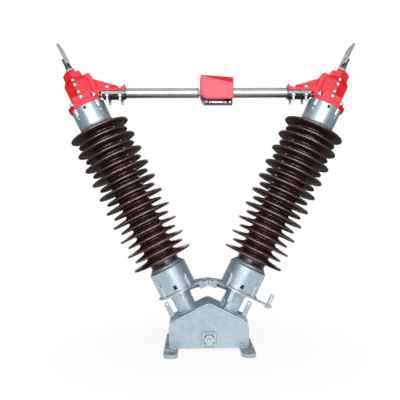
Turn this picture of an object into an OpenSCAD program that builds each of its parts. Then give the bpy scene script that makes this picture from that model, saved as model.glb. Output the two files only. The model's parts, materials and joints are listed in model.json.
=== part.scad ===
/* [Layout] */
// Lean of each post from the vertical, degrees
tilt = 26; // [22:0.5:30]
// Distance of each post axis from the middle, at the underside of its lower flange
post_x = 117; // [105:1:130]
// Height of the lower flange's underside above the ground, on the post axis
post_z = 220; // [205:1:240]

/* [Base box] */
// Distance from a post axis, at the lower flange, out to the side of the box
box_side = 34; // [30:1:50]
// Depth of the box, front to rear
box_d = 158; // [140:1:190]
// Thickness of the box plates
plate_t = 8; // [5:0.5:12]
// Thickness of the sloping roof plates
roof_t = 10; // [6:0.5:14]
// Clear height from the roof to the underside of the lower flange, along the post axis
roof_drop = 84; // [78:1:96]

/* [Feet] */
// Thickness of the foot bars
foot_t = 12; // [8:1:16]
// Width of the foot bars
foot_w = 54; // [44:1:60]
// Length of the foot bars
foot_l = 330; // [280:1:400]
// Reach of the foot bars beyond the sides of the box
foot_overhang = 21; // [10:1:40]
// Distance of the foot holes from the ends of the bars
foot_hole_end = 25; // [15:1:40]
// Diameter of the foot holes
foot_hole_d = 14; // [10:0.5:18]

/* [Bearings] */
// Outside diameter of the bearing housings
bearing_d = 78; // [72:1:86]
// Diameter of the collar at the top of a bearing housing
bearing_collar_d = 84; // [80:1:88]
// Height of that collar
bearing_collar_h = 14; // [8:1:20]
// Running gap between bearing housing and lower flange
bearing_gap = 4; // [3:0.5:6]
// Diameter of the post shafts
shaft_d = 50; // [40:1:56]
// Radial running clearance of the shafts
shaft_clear = 0.05; // [0.02:0.01:0.1]

/* [Lower flange] */
// Diameter of the lower flange
flange_d = 151; // [145:1:158]
// Height of the lower flange
flange_h = 110; // [95:1:120]
// Bevel at the top of the lower flange
flange_bevel = 8; // [4:1:14]
// Diameter of the rim at its foot
flange_rim_d = 168; // [160:1:174]
// Height of that rim
flange_rim_h = 7; // [5:0.5:10]
// Width of the drain slot at the front
slot_w = 14; // [8:1:18]
// Height of the drain slot
slot_h = 16; // [10:1:20]
// Depth of the drain slot
slot_depth = 9; // [5:1:14]
// Height of the drain slot's lower edge above the rim
slot_rise = 12; // [6:1:20]
// Diameter over the lugs
flange_lug_d = 166; // [160:1:172]
// Diameter of one lug
lug_d = 20; // [14:1:24]
// Number of lugs
lug_count = 4; // [3:1:6]
// Turn of the first lug from the blade's direction, degrees
lug_turn = -135; // [-150:1:-120]
// Height of the lugs
lug_h = 50; // [36:1:64]

/* [Insulator] */
// Height of porcelain above the highest large shed
shed_last = 26.6; // [22:0.1:40]
// Diameter of the porcelain core
core_d = 116; // [108:1:120]
// Diameter of the large sheds
shed_d = 245; // [225:1:255]
// Diameter of the small sheds
small_shed_d = 210; // [190:1:220]
// Distance from one large shed to the next
shed_pitch = 62.6; // [60:0.1:64]
// Number of large sheds
shed_count = 10; // [8:1:10]
// Height of the lowest large shed above the lower flange
shed_first = 37; // [30:1:40]
// Radius of the shed rims
shed_rim_r = 4.5; // [3:0.5:5.5]
// Rise of a shed's upper side from its rim to the core
shed_rise = 20; // [14:1:21]

/* [Top cap] */
// Diameter of the top cap
cap_d = 137; // [130:1:142]
// Height of the top cap
cap_h = 79; // [65:1:90]
// Diameter over the bolt bosses of the cap
cap_boss_over_d = 154; // [146:1:160]
// Diameter of one bolt boss
cap_boss_d = 26; // [18:1:30]
// Height of the bolt bosses
cap_boss_h = 33; // [24:1:40]

/* [Terminal housing] */
// Width of the foot flange over its flats
housing_foot_w = 144; // [136:1:150]
// Thickness of the foot flange
housing_foot_t = 19; // [14:1:24]
// Distance of the foot flange's trimmed edge behind the root plate's face
housing_foot_back = 8; // [4:1:14]
// Half depth of the foot flange, where it is trimmed flat at the front and rear
housing_foot_y = 57; // [52:1:60]
// Width of the flat front and rear pads
front_pad_w = 74; // [60:1:84]
// Height of these pads
front_pad_h = 45; // [36:1:60]
// Distance between the faces of these pads
front_pad_d = 120; // [116:1:126]
// Width of the six-sided body over its flats
housing_w = 94; // [88:1:100]
// Height at which the shoulder starts
housing_body_h = 104; // [94:1:112]
// Width of the neck over its flats
neck_w = 70; // [60:1:78]
// Height of the sloping shoulder
shoulder_h = 20; // [14:1:30]
// Height of the neck's upright part
neck_h = 24; // [16:1:30]
// Height of the neck's top bevel
neck_bevel_h = 12; // [6:1:16]
// Width of the neck's top face
neck_top_w = 44; // [40:1:54]

// Distance from the post axis to the step in the neck
neck_step_x = 18; // [17:0.5:22]
// Depth of that step below the top
neck_step_h = 15; // [13:1:20]

/* [Terminal] */
// Diameter of the terminal stem in its housing
stem_d = 30; // [24:1:34]
// Depth of the stem inside the housing
stem_depth = 60; // [40:1:90]
// Diameter of the stem above its cone
stem_top_d = 22; // [18:1:24]
// Length of the cone above the housing
stem_cone_h = 30; // [20:1:40]
// Length of the stem above the housing
stem_h = 58; // [50:1:66]
// Radial running clearance of the stem
stem_clear = 0.05; // [0.02:0.01:0.1]
// Width of the bolt pad
pad_w = 80; // [70:1:90]
// Thickness of the bolt pad
pad_t = 9; // [6:0.5:10]
// Height of the pad's lower edge above the housing
pad_z = 24; // [20:1:34]
// Length of the bolt pad
pad_l = 86; // [76:1:96]
// Distance between the pad's holes, both ways
pad_pitch = 45; // [36:1:50]
// Diameter of the pad's holes
pad_hole_d = 14; // [10:0.5:16]

/* [Blades] */
// Outside diameter of the blade tubes
tube_d = 39; // [34:0.5:42]
// Wall of the blade tubes
tube_wall = 4; // [3:0.5:5]
// Height of the blades above the top cap, along the post axis
blade_rise = 65; // [58:1:70]
// Clearance between a tube and what it is clamped or plugged by
tube_clear = 0.1; // [0.05:0.05:0.3]
// Gap between the end of a tube and the arm's root plate
tube_end_gap = 4; // [2:0.5:12]
// End of the right tube at the contact, right of the middle
tube_right_end_x = 105; // [98:1:112]

/* [Arm clamps] */
// Length of the clamp along the tube
clamp_l = 88; // [80:1:96]
// Distance from the clamp's inner end to the tube's end
clamp_inset = 6; // [3:1:12]
// Wall of the clamp round the tube
clamp_wall = 7; // [6:0.5:7.5]
// Width of one bolt ear beside the clamp's shell
clamp_ear_w = 17.5; // [16:0.5:22]
// Thickness of one bolt ear
clamp_ear_t = 11; // [8:0.5:12]
// Gap between the two clamp halves
clamp_gap = 3; // [2:0.5:6]
// Distance between the clamp bolts along the tube
clamp_bolt_pitch = 50; // [40:1:56]
// Diameter of the clamp bolts
clamp_bolt_d = 10; // [8:0.5:12]
// Thickness of the arm's rib
rib_t = 14; // [10:1:20]
// Thickness of the arm's root plate on the housing
root_t = 21; // [14:0.5:22]
// Width of the arm's root plate
root_w = 36; // [28:1:42]
// Distance from the top of the root plate up to the start of the neck
root_below = 2; // [1:1:8]
// Rounding of the root plate's top corner
root_round = 12; // [6:1:16]
// Height of the arm's rib on the root plate
rib_h = 97; // [80:1:100]
// Width of the raised ribs across the upper clamp half
saddle_rib_t = 7; // [4:0.5:10]
// Rise of these ribs above the clamp's back
saddle_rib_h = 5; // [3:0.5:8]

/* [Contact] */
// Thickness of the tongue on the left blade
tongue_t = 20; // [16:1:24]
// Width of the tongue
tongue_w = 40; // [32:1:44]
// Reach of the tongue past the middle of the switch
tongue_reach = 25; // [18:1:30]
// Clearance between the tongue and the fingers
finger_clear = 0.6; // [0.4:0.1:1]
// Thickness of a contact finger
finger_t = 12; // [8:0.5:14]
// Width of a contact finger
finger_w = 17; // [13:1:18]
// Space between two neighbouring fingers
finger_space = 6; // [4:1:10]
// Reach of the fingers to the left of the middle
finger_reach = 22; // [16:1:24]
// Length of the carrier block along the blade
carrier_l = 34; // [28:1:40]
// Depth of the carrier rail below the blade axis
rail_drop = 47; // [44:1:60]
// Thickness of the carrier rail
rail_t = 14; // [10:1:16]

/* [Contact hood] */
// Left edge of the hood, left of the middle
hood_left_x = 25; // [20:1:30]
// Gap between the hood's left edge and the collar on the left tube
hood_collar_gap = 7; // [6:0.5:14]
// Gap between the hood's right end and the end of the right tube
hood_tube_gap = 2; // [1:0.5:6]
// Half depth of the hood
hood_half_d = 48; // [42:1:56]
// Top of the hood above the blade axis, at its left edge
hood_top = 62; // [56:1:70]
// Fall of the hood's top towards the right
hood_fall = 7; // [4:1:12]
// Bottom of the hood below the blade axis
hood_drop = 33; // [28:1:36]
// Sheet thickness of the hood
hood_t = 3; // [2:0.5:4]
// Radius of the hood's top edges
hood_top_r = 6; // [5:0.5:8]
// Height of the bevel along the top edges, at the hood's left end
hood_bevel_left = 4; // [3:0.5:6]
// Height of the bevel along the top edges, at the hood's right end
hood_bevel_right = 26; // [16:1:28]
// Slope of the bevel
hood_bevel_slope = 60; // [50:1:70]
// Radius of the hood's lower left corner
hood_corner_r = 28; // [20:1:32]
// Width of the rolled lip
hood_lip_w = 7; // [4:1:10]
// Height of the rolled lip above the sheet
hood_lip_t = 2.5; // [1.5:0.5:4]

/* [Bevel gear] */
// Angle from one tooth to the next
tooth_pitch = 8; // [6:0.5:9]
// Swing of each post from closed to open
swing = 90; // [80:1:90]
// Teeth beyond each end of the swing
spare_teeth = 2; // [1:1:3]
// Height of a tooth above the pitch line
tooth_head = 3.8; // [2.5:0.1:4.2]
// Depth of a tooth below the pitch line
tooth_foot = 5.4; // [4.8:0.1:6.5]
// Thickness of the toothed rim along the post axis
rim_h = 21; // [16:1:26]
// Radial width of the rim below its teeth
rim_w = 26; // [18:1:32]
// Thickness of the sector's plate
sector_t = 8; // [6:1:10]
// Radial gap from a bearing collar to what turns round it
collar_clear = 6; // [5:0.5:8]

/* [Lever and stops] */
// Reach of the operating lever from the post axis to its pin
lever_r = 137; // [125:1:150]
// Width of the operating lever
lever_w = 36; // [28:1:40]
// Thickness of the operating lever
lever_t = 6; // [5:1:8]
// Diameter of the lever pin
pin_d = 16; // [12:1:20]
// Length of the lever pin above the lever
pin_l = 45; // [35:1:60]
// Length of the stop tab below the flange
tab_l = 52; // [46:1:58]
// Width of the stop tab
tab_w = 16; // [12:1:20]
// Thickness of the stop tab
tab_t = 6; // [5:1:8]
// Turn of the stop tab from straight ahead towards the middle
tab_turn = 20; // [14:1:26]
// Free gap between the stop tab and the closing stop
stop_gap = 5; // [5:0.5:8]
// Width of the closing stop
stop_w = 14; // [10:1:18]
// Height of the closing stop on the roof
stop_h = 42; // [38:1:48]
// Height of a lock bracket
bracket_h = 66; // [56:1:70]
// Width of a lock bracket
bracket_w = 20; // [16:1:26]
// Thickness of a lock bracket
bracket_t = 6; // [5:1:8]
// Distance from the foot of a lock bracket to the outer edge of the roof
bracket_inset = 2; // [1:0.5:6]
// Length of a lock bracket's foot on the roof
bracket_foot = 17; // [14:1:18]

/* [Earth terminal] */
// Side of the earth terminal's pad
earth_pad = 52; // [44:1:60]
// Thickness of that pad
earth_pad_t = 8; // [6:1:12]
// Height of the pad's middle above the box's lower edge
earth_z = 36; // [32:1:50]
// Width of its nut over the flats
earth_nut_w = 34; // [28:1:38]
// Thickness of its nut
earth_nut_t = 16; // [12:1:20]
// Diameter of its stud
earth_stud_d = 16; // [12:1:20]
// Length of the stud past the nut
earth_stud_l = 10; // [6:1:16]

/* [Hidden] */
$fn = 64;

steel = [0.70, 0.75, 0.79];
red = [0.85, 0.09, 0.11];
brown = [0.17, 0.07, 0.06];
silver = [0.80, 0.81, 0.82];
dark = [0.20, 0.18, 0.18];

sa = sin(tilt);
ca = cos(tilt);

// Heights along a post axis, measured from the underside of the lower flange
roof_s = -roof_drop;
porcelain_l = shed_first + (shed_count - 1) * shed_pitch + shed_last;
cap_s = flange_h + porcelain_l;
housing_s = cap_s + cap_h;
blade_s = housing_s + blade_rise;

// Half width of the box, and the foot holes
box_half_w = post_x + box_side;
foot_x = box_half_w + foot_overhang - foot_w / 2;
foot_hole_y = foot_l / 2 - foot_hole_end;

// Roof line: both roofs stand square to their posts and meet in the middle
apex_z = post_z + post_x * sa / ca - roof_drop / ca;
eave_z = apex_z - box_half_w * sa / ca;
roof_drop_z = roof_t / ca;
inner_d = box_d - 2 * plate_t;
bracket_r = (box_side + roof_drop * sa) / ca - bracket_inset - bracket_w;

// Terminal housing: heights above its foot, and the face of the arm's root plate
neck_z = housing_body_h + shoulder_h;
neck_top_z = neck_z + neck_h;
housing_h = neck_top_z + neck_bevel_h;
neck_step_z = housing_h - neck_step_h;
root_x = housing_w / 2 + root_t;
housing_foot_in = root_x - housing_foot_back;

// Blade axis height, the outer end of a tube, and its clamp
blade_z = post_z + blade_s * ca;
tube_r = tube_d / 2;
collar_l = 6;
tube_left_end_x = hood_left_x + hood_collar_gap + collar_l;
tube_post_x = -post_point(root_x, housing_s + housing_foot_t)[0] - tube_end_gap;
clamp_r = tube_r + clamp_wall;
clamp_w = 2 * (clamp_r + clamp_ear_w);
clamp_x1 = tube_post_x - clamp_inset;
clamp_x0 = clamp_x1 - clamp_l;
clamp_mid = (clamp_x0 + clamp_x1) / 2;
clamp_bolt_y = clamp_r + clamp_ear_w / 2;

// Bevel gear: the post axes meet in the apex, so the pitch cone's half angle is the tilt
apex_a = post_x / sa;
rim_a = apex_a - sector_t - rim_h;
rim_scale = (rim_a + rim_h) / rim_a;
pitch_r = rim_a * sa / ca;
tip_r = pitch_r + tooth_head / ca;
root_r = pitch_r - tooth_foot / ca;
fan_from = -spare_teeth * tooth_pitch;
fan_to = swing + spare_teeth * tooth_pitch;
sector_in_r = bearing_collar_d / 2 + collar_clear;
sector_out_r = root_r - 2;

// Local frame of the left post: z along its axis, x towards the middle, y to the rear
module on_left_post() {
    translate([-post_x, 0, post_z]) rotate([0, -tilt, 0]) children();
}

module on_right_post() {
    mirror([1, 0, 0]) on_left_post() children();
}

module on_right() {
    mirror([1, 0, 0]) children();
}

// Extrudes an outline drawn in x and z to a depth centred on y
module slab(depth) {
    rotate([90, 0, 0]) linear_extrude(height = depth, center = true) children();
}

// Base box

module gable() {
    polygon([[-box_half_w, foot_t], [box_half_w, foot_t], [box_half_w, eave_z],
        [0, apex_z], [-box_half_w, eave_z]]);
}

module base_front_plate() {
    color(steel) translate([0, -(box_d - plate_t) / 2, 0]) slab(plate_t) gable();
}

module base_rear_plate() {
    color(steel) translate([0, (box_d - plate_t) / 2, 0]) slab(plate_t) gable();
}

module roof_plate() {
    slab(inner_d) polygon([[0, apex_z], [0, apex_z - roof_drop_z],
        [-box_half_w, eave_z - roof_drop_z], [-box_half_w, eave_z]]);
}

module base_left_roof() {
    color(steel) roof_plate();
}

module base_right_roof() {
    color(steel) on_right() roof_plate();
}

module side_plate() {
    step = plate_t * sa / ca;
    top = eave_z - roof_drop_z;
    slab(inner_d) polygon([[-box_half_w, foot_t], [plate_t - box_half_w, foot_t],
        [plate_t - box_half_w, top + step], [-box_half_w, top]]);
}

module base_left_side() {
    color(steel) side_plate();
}

module base_right_side() {
    color(steel) on_right() side_plate();
}

module foot_bar() {
    round_y = (foot_l - foot_w) / 2;
    translate([-foot_x, 0, 0]) difference() {
        linear_extrude(height = foot_t) union() {
            square([foot_w, 2 * round_y], center = true);
            for (side = [-1, 1]) translate([0, side * round_y]) circle(d = foot_w);
        }
        for (side = [-1, 1]) translate([0, side * foot_hole_y, -1])
            cylinder(d = foot_hole_d, h = foot_t + 2);
    }
}

module left_foot_bar() {
    color(steel) foot_bar();
}

module right_foot_bar() {
    color(steel) on_right() foot_bar();
}

module bearing_housing() {
    top = -bearing_gap;
    difference() {
        union() {
            translate([0, 0, roof_s]) cylinder(d = bearing_d, h = top - roof_s);
            translate([0, 0, top - bearing_collar_h]) cylinder(d = bearing_collar_d, h = bearing_collar_h);
        }
        translate([0, 0, roof_s - 1])
            cylinder(d = shaft_d + 2 * shaft_clear, h = roof_drop + 2);
    }
}

module left_bearing_housing() {
    color(steel) on_left_post() bearing_housing();
}

module right_bearing_housing() {
    color(steel) on_right_post() bearing_housing();
}

module lock_bracket() {
    hole_z = bracket_h - bracket_w / 2;
    translate([-bracket_r - bracket_w, -bracket_t / 2, roof_s]) difference() {
        union() {
            cube([bracket_w, bracket_t, hole_z]);
            translate([bracket_w / 2, bracket_t, hole_z]) rotate([90, 0, 0])
                cylinder(d = bracket_w, h = bracket_t);
            cube([bracket_w, bracket_foot, bracket_t]);
        }
        translate([bracket_w / 2, bracket_t + 1, hole_z]) rotate([90, 0, 0])
            cylinder(d = bracket_w / 2, h = bracket_t + 2);
    }
}

module left_lock_bracket() {
    color(steel) on_left_post() lock_bracket();
}

module right_lock_bracket() {
    color(steel) on_right_post() lock_bracket();
}

module earth_terminal() {
    color(silver) translate([0, -box_d / 2, foot_t + earth_z]) rotate([90, 0, 0]) union() {
        linear_extrude(height = earth_pad_t) square(earth_pad, center = true);
        cylinder(d = earth_nut_w / cos(30), h = earth_pad_t + earth_nut_t, $fn = 6);
        cylinder(d = earth_stud_d, h = earth_pad_t + earth_nut_t + earth_stud_l);
    }
}

// Angle that a straight length spans at a given radius
function arc_deg(length, r) = 2 * asin(length / (2 * r));

module closing_stop() {
    tab_r = sector_in_r + tab_t / 2;
    stop_angle = -90 + tab_turn + arc_deg((tab_w + stop_w) / 2 + stop_gap, tab_r);
    color(steel) on_right_post() rotate([0, 0, stop_angle])
        translate([sector_in_r, -stop_w / 2, roof_s]) cube([tab_t * 2, stop_w, stop_h]);
}

// Posts

module shaft() {
    translate([0, 0, roof_s + bearing_gap]) cylinder(d = shaft_d, h = -roof_s - bearing_gap);
}

module left_shaft() {
    color(steel) on_left_post() shaft();
}

module right_shaft() {
    color(steel) on_right_post() shaft();
}

module lower_flange() {
    lug_r = (flange_lug_d - lug_d) / 2;
    difference() {
        union() {
            rotate_extrude() polygon([[0, 0], [flange_rim_d / 2, 0], [flange_rim_d / 2, flange_rim_h],
                [flange_d / 2, flange_rim_h], [flange_d / 2, flange_h - flange_bevel],
                [flange_d / 2 - flange_bevel, flange_h], [0, flange_h]]);
            for (i = [0 : lug_count - 1]) rotate([0, 0, lug_turn + 360 / lug_count * i])
                linear_extrude(height = lug_h) union() {
                    translate([0, -lug_d / 2]) square([lug_r, lug_d]);
                    translate([lug_r, 0]) circle(d = lug_d);
                }
        }
        translate([-slot_w / 2, -flange_d, flange_rim_h + slot_rise])
            cube([slot_w, flange_d / 2 + slot_depth, slot_h]);
    }
}

module left_lower_flange() {
    color(steel) on_left_post() lower_flange();
}

module right_lower_flange() {
    color(steel) on_right_post() lower_flange();
}

// Half section of one shed: sloping upper side, nearly flat underside, round rim
module shed_half(d) {
    rim_x = d / 2 - shed_rim_r;
    root_x = core_d / 2 - 2;
    polygon([[root_x, -shed_rim_r - 1], [rim_x, -shed_rim_r], [rim_x, shed_rim_r], [root_x, shed_rise]]);
    translate([rim_x, 0]) circle(r = shed_rim_r);
}

module insulator() {
    translate([0, 0, flange_h]) rotate_extrude() union() {
        square([core_d / 2, porcelain_l]);
        for (i = [0 : shed_count - 1]) translate([0, shed_first + i * shed_pitch]) shed_half(shed_d);
        for (i = [0 : shed_count - 2]) translate([0, shed_first + (i + 0.5) * shed_pitch])
            shed_half(small_shed_d);
    }
}

module left_insulator() {
    color(brown) on_left_post() insulator();
}

module right_insulator() {
    color(brown) on_right_post() insulator();
}

module top_cap() {
    boss_r = (cap_boss_over_d - cap_boss_d) / 2;
    foot_d = cap_boss_d * 0.6;
    foot_h = cap_boss_d * 0.3;
    translate([0, 0, cap_s]) union() {
        cylinder(d = cap_d, h = cap_h);
        for (i = [0 : 3]) rotate([0, 0, 45 + 90 * i]) translate([boss_r, 0, cap_h - cap_boss_h]) union() {
            cylinder(d1 = foot_d, d2 = cap_boss_d, h = foot_h);
            translate([0, 0, foot_h]) cylinder(d = cap_boss_d, h = cap_boss_h - foot_h);
        }
    }
}

module left_top_cap() {
    color(steel) on_left_post() top_cap();
}

module right_top_cap() {
    color(steel) on_right_post() top_cap();
}

// Bevel gear sectors

function polar(r, angle) = [r * cos(angle), r * sin(angle)];

// Toothed outline of a sector: teeth at the outside, an arc at the inside
module toothed_fan(first, count) {
    half_tip = 0.13 * tooth_pitch;
    half_root = 0.28 * tooth_pitch;
    in_r = root_r - rim_w;
    polygon(concat(
        [for (i = [0 : count - 1]) each let (c = first + i * tooth_pitch) [
            polar(root_r, c - half_root), polar(tip_r, c - half_tip),
            polar(tip_r, c + half_tip), polar(root_r, c + half_root)]],
        [for (i = [count - 1 : -1 : 0]) each let (c = first + i * tooth_pitch)
            [polar(in_r, c + half_root), polar(in_r, c - half_root)]]));
}

module sector_plate(from, to) {
    steps = ceil((to - from) / tooth_pitch);
    step = (to - from) / steps;
    polygon(concat(
        [for (i = [0 : steps]) polar(sector_out_r, from + i * step)],
        [for (i = [steps : -1 : 0]) polar(sector_in_r, from + i * step)]));
}

module gear_sector(shift) {
    count = floor((fan_to - fan_from) / tooth_pitch) + 1;
    first = fan_from + shift;
    last = first + (count - 1) * tooth_pitch;
    edge = 0.28 * tooth_pitch;
    union() {
        translate([0, 0, -sector_t - rim_h])
            linear_extrude(height = rim_h, scale = rim_scale) toothed_fan(first, count);
        translate([0, 0, -sector_t])
            linear_extrude(height = sector_t) sector_plate(first - edge, last + edge);
    }
}

module left_gear_sector() {
    color(steel) on_left_post() gear_sector(0);
}

module right_gear_sector() {
    color(steel) on_right_post() gear_sector(tooth_pitch / 2);
}

// Terminal housings and arms

// Side outline of a terminal housing: body, shoulder, neck and top bevel
module housing_outline() {
    half = [[housing_w / 2, 0], [housing_w / 2, housing_body_h], [neck_w / 2, neck_z],
        [neck_w / 2, neck_top_z], [neck_top_w / 2, housing_h]];
    last = len(half) - 1;
    polygon(concat(half, [for (i = [last : -1 : 0]) [-half[i][0], half[i][1]]]));
}

// Eight-sided foot flange, trimmed flat on the blade's side and at the front and rear
module housing_foot() {
    intersection() {
        rotate(22.5) circle(d = housing_foot_w / cos(22.5), $fn = 8);
        translate([housing_foot_in - housing_foot_w, -housing_foot_y])
            square([housing_foot_w, 2 * housing_foot_y]);
    }
}

// The same outline across three directions leaves a six-sided body with a ridge at the front
module terminal_housing() {
    translate([0, 0, housing_s]) difference() {
        union() {
            linear_extrude(height = housing_foot_t) housing_foot();
            linear_extrude(height = front_pad_h) square([front_pad_w, front_pad_d], center = true);
            intersection() {
                slab(2 * housing_w) housing_outline();
                rotate([0, 0, 60]) slab(2 * housing_w) housing_outline();
                rotate([0, 0, 120]) slab(2 * housing_w) housing_outline();
            }
        }
        translate([neck_step_x, -housing_w, neck_step_z]) cube([housing_w, 2 * housing_w, housing_h]);
        translate([0, 0, housing_h - stem_depth - 1])
            cylinder(d = stem_d + 2 * stem_clear, h = stem_depth + 2);
    }
}

module left_terminal_housing() {
    color(red) on_left_post() terminal_housing();
}

module right_terminal_housing() {
    color(red) on_right_post() terminal_housing();
}

// Bar along x at blade height, between two distances left of the middle
module along_blade(from_x, to_x, d) {
    translate([-to_x, 0, blade_z]) rotate([0, 90, 0]) cylinder(d = d, h = to_x - from_x);
}

// Point of the left post's frame, given as distance towards the middle and height, in x and z
function post_point(x, s) = [-post_x + x * ca - s * sa, post_z + x * sa + s * ca];

// Place along x of a face at distance k from the left post's axis, at height z
function face_x(k, z) = -post_x + k * ca - (z - post_z - k * sa) / ca * sa;

module clamp_bolt_places() {
    for (x = [-1, 1], y = [-1, 1])
        translate([x * clamp_bolt_pitch / 2 - clamp_mid, y * clamp_bolt_y, blade_z]) children();
}

// One clamp half: a half shell round the tube with bolt ears, above or below the blade axis
module clamp_half(up) {
    low = up ? clamp_gap / 2 : -clamp_gap / 2 - clamp_ear_t;
    shell = up ? clamp_gap / 2 : -clamp_gap / 2 - 2 * clamp_r;
    union() {
        translate([-clamp_x1, -clamp_w / 2, blade_z + low]) cube([clamp_l, clamp_w, clamp_ear_t]);
        intersection() {
            along_blade(clamp_x0, clamp_x1, 2 * clamp_r);
            translate([-clamp_x1, -clamp_r, blade_z + shell]) cube([clamp_l, 2 * clamp_r, 2 * clamp_r]);
        }
    }
}

module clamp_cuts() {
    along_blade(clamp_x0 - 1, tube_post_x + 2, tube_d + 2 * tube_clear);
    clamp_bolt_places() translate([0, 0, -2 * clamp_r]) cylinder(d = clamp_bolt_d + 0.5, h = 4 * clamp_r);
}

module arm_bracket() {
    neck_low = blade_z + clamp_gap / 2;
    neck_high = blade_z + clamp_r - 1;
    root_top = neck_z - root_below;
    shoulder_fall = (root_top - housing_body_h) / (neck_z - housing_body_h);
    shoulder_x = (housing_w - (housing_w - neck_w) * shoulder_fall) / 2;
    round_mid = [root_x - root_round, root_top - root_round];
    saddle = 0.7 * clamp_r;
    rib_top = post_point(root_x - 1, housing_s + rib_h);
    rib_foot_x = -clamp_x0 - clamp_l / 4;
    difference() {
        union() {
            clamp_half(true);
            on_left_post() translate([0, 0, housing_s]) slab(root_w) polygon(concat(
                [[shoulder_x, root_top], [housing_w / 2, housing_body_h],
                    [housing_w / 2, housing_foot_t], [root_x, housing_foot_t]],
                [for (a = [0 : 15 : 90]) round_mid + polar(root_round, a)]));
            for (x = [clamp_x0 + 2, clamp_mid - saddle_rib_t / 2, clamp_x1 - saddle_rib_t - 2])
                translate([-x - saddle_rib_t, -saddle, blade_z + saddle])
                    cube([saddle_rib_t, 2 * saddle, clamp_r - saddle + saddle_rib_h]);
            slab(root_w - 4) polygon([[face_x(root_x - 1, neck_low), neck_low], [6 - clamp_x1, neck_low],
                [6 - clamp_x1, neck_high], [face_x(root_x - 1, neck_high), neck_high]]);
            slab(rib_t) polygon([rib_top, [rib_foot_x, neck_high], [-clamp_mid, neck_high - 3],
                [face_x(root_x - 1, neck_high - 3), neck_high - 3]]);
        }
        clamp_cuts();
    }
}

module left_arm_bracket() {
    color(red) arm_bracket();
}

module right_arm_bracket() {
    color(red) on_right() arm_bracket();
}

module tube_clamp() {
    difference() {
        clamp_half(false);
        clamp_cuts();
    }
}

module left_tube_clamp() {
    color(silver) tube_clamp();
}

module right_tube_clamp() {
    color(silver) on_right() tube_clamp();
}

module clamp_bolts() {
    ear = clamp_gap / 2 + clamp_ear_t;
    hex_d = 1.9 * clamp_bolt_d;
    hex_h = 0.7 * clamp_bolt_d;
    tail = 2.6 * clamp_bolt_d;
    clamp_bolt_places() union() {
        translate([0, 0, -ear - tail]) cylinder(d = clamp_bolt_d, h = 2 * ear + tail);
        translate([0, 0, ear]) cylinder(d = hex_d, h = hex_h, $fn = 6);
        translate([0, 0, -ear - hex_h]) cylinder(d = hex_d, h = hex_h, $fn = 6);
    }
}

module left_clamp_bolts() {
    color(silver) clamp_bolts();
}

module right_clamp_bolts() {
    color(silver) on_right() clamp_bolts();
}

module blade_tube(end_x) {
    difference() {
        along_blade(end_x, tube_post_x, tube_d);
        along_blade(end_x - 1, tube_post_x + 1, tube_d - 2 * tube_wall);
    }
}

module left_blade_tube() {
    color(silver) blade_tube(tube_left_end_x);
}

module right_blade_tube() {
    color(silver) on_right() blade_tube(tube_right_end_x);
}

// Contact

plug_d = tube_d - 2 * tube_wall - 2 * tube_clear;
plug_l = 60;
finger_z = tongue_t / 2 + finger_clear;
carrier_x = tube_right_end_x - carrier_l;
web_t = finger_space - 1;
hood_right_x = tube_right_end_x - hood_tube_gap;

function hood_top_at(x) = hood_top - hood_fall * (x + hood_left_x) / (hood_left_x + hood_right_x);

module contact_tongue() {
    round_x = tongue_reach - tongue_w / 2;
    color(silver) union() {
        along_blade(tube_left_end_x, tube_left_end_x + plug_l, plug_d);
        along_blade(tube_left_end_x - collar_l, tube_left_end_x, tube_d);
        translate([0, 0, blade_z - tongue_t / 2]) linear_extrude(height = tongue_t) union() {
            translate([collar_l / 2 - tube_left_end_x, -tongue_w / 2])
                square([round_x + tube_left_end_x - collar_l / 2, tongue_w]);
            translate([round_x, 0]) circle(d = tongue_w);
        }
    }
}

module finger_pair() {
    flare = 5;
    lead = 12;
    place_y = (finger_w + finger_space) / 2;
    for (side = [-1, 1]) translate([0, side * place_y, blade_z]) slab(finger_w) polygon([
        [tube_right_end_x, finger_z], [tube_right_end_x, finger_z + finger_t],
        [4 - finger_reach, finger_z + finger_t], [-finger_reach, finger_z + finger_t - 3],
        [-finger_reach, finger_z + flare], [lead - finger_reach, finger_z]]);
}

module upper_fingers() {
    color(dark) finger_pair();
}

module lower_fingers() {
    color(dark) translate([0, 0, 2 * blade_z]) mirror([0, 0, 1]) finger_pair();
}

module finger_carrier() {
    half_y = finger_w + finger_space / 2;
    rail_x0 = -hood_left_x / 3;
    color(dark) union() {
        on_right() along_blade(tube_right_end_x, tube_right_end_x + plug_l, plug_d);
        translate([carrier_x, -half_y, blade_z - finger_z]) cube([carrier_l, 2 * half_y, 2 * finger_z]);
        translate([0, 0, blade_z]) slab(web_t) polygon([[carrier_x, -rail_drop], [hood_right_x, -rail_drop],
            [hood_right_x, hood_top_at(hood_right_x) - hood_t],
            [carrier_x, hood_top_at(carrier_x) - hood_t]]);
        translate([rail_x0, -rail_t, blade_z - rail_drop])
            cube([hood_right_x - rail_x0, 2 * rail_t, rail_t]);
    }
}

// Front outline of the hood, drawn in x and z about the blade axis, pulled in from three edges
module hood_front(inset) {
    left = inset - hood_left_x;
    low = inset - hood_drop;
    r = hood_corner_r - inset;
    union() {
        polygon([[left, low + r], [left + r, low], [hood_right_x, low],
            [hood_right_x, hood_top_at(hood_right_x) - inset], [left, hood_top_at(left) - inset]]);
        translate([left + r, low + r]) circle(r = r);
    }
}

// End outline of the hood's skin or hollow, drawn in y and z about the blade axis
module hood_end(inset, low) {
    half = hood_half_d - inset;
    r = hood_top_r - inset;
    top = hood_top - inset;
    union() {
        translate([-half, low]) square([2 * half, top - r - low]);
        translate([r - half, 0]) square([2 * (half - r), top]);
        for (side = [-1, 1]) translate([side * (half - r), top - r]) circle(r = r);
    }
}

module along_x(from_x, to_x) {
    translate([from_x, 0, 0]) rotate([90, 0, 90]) linear_extrude(height = to_x - from_x) children();
}

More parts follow.
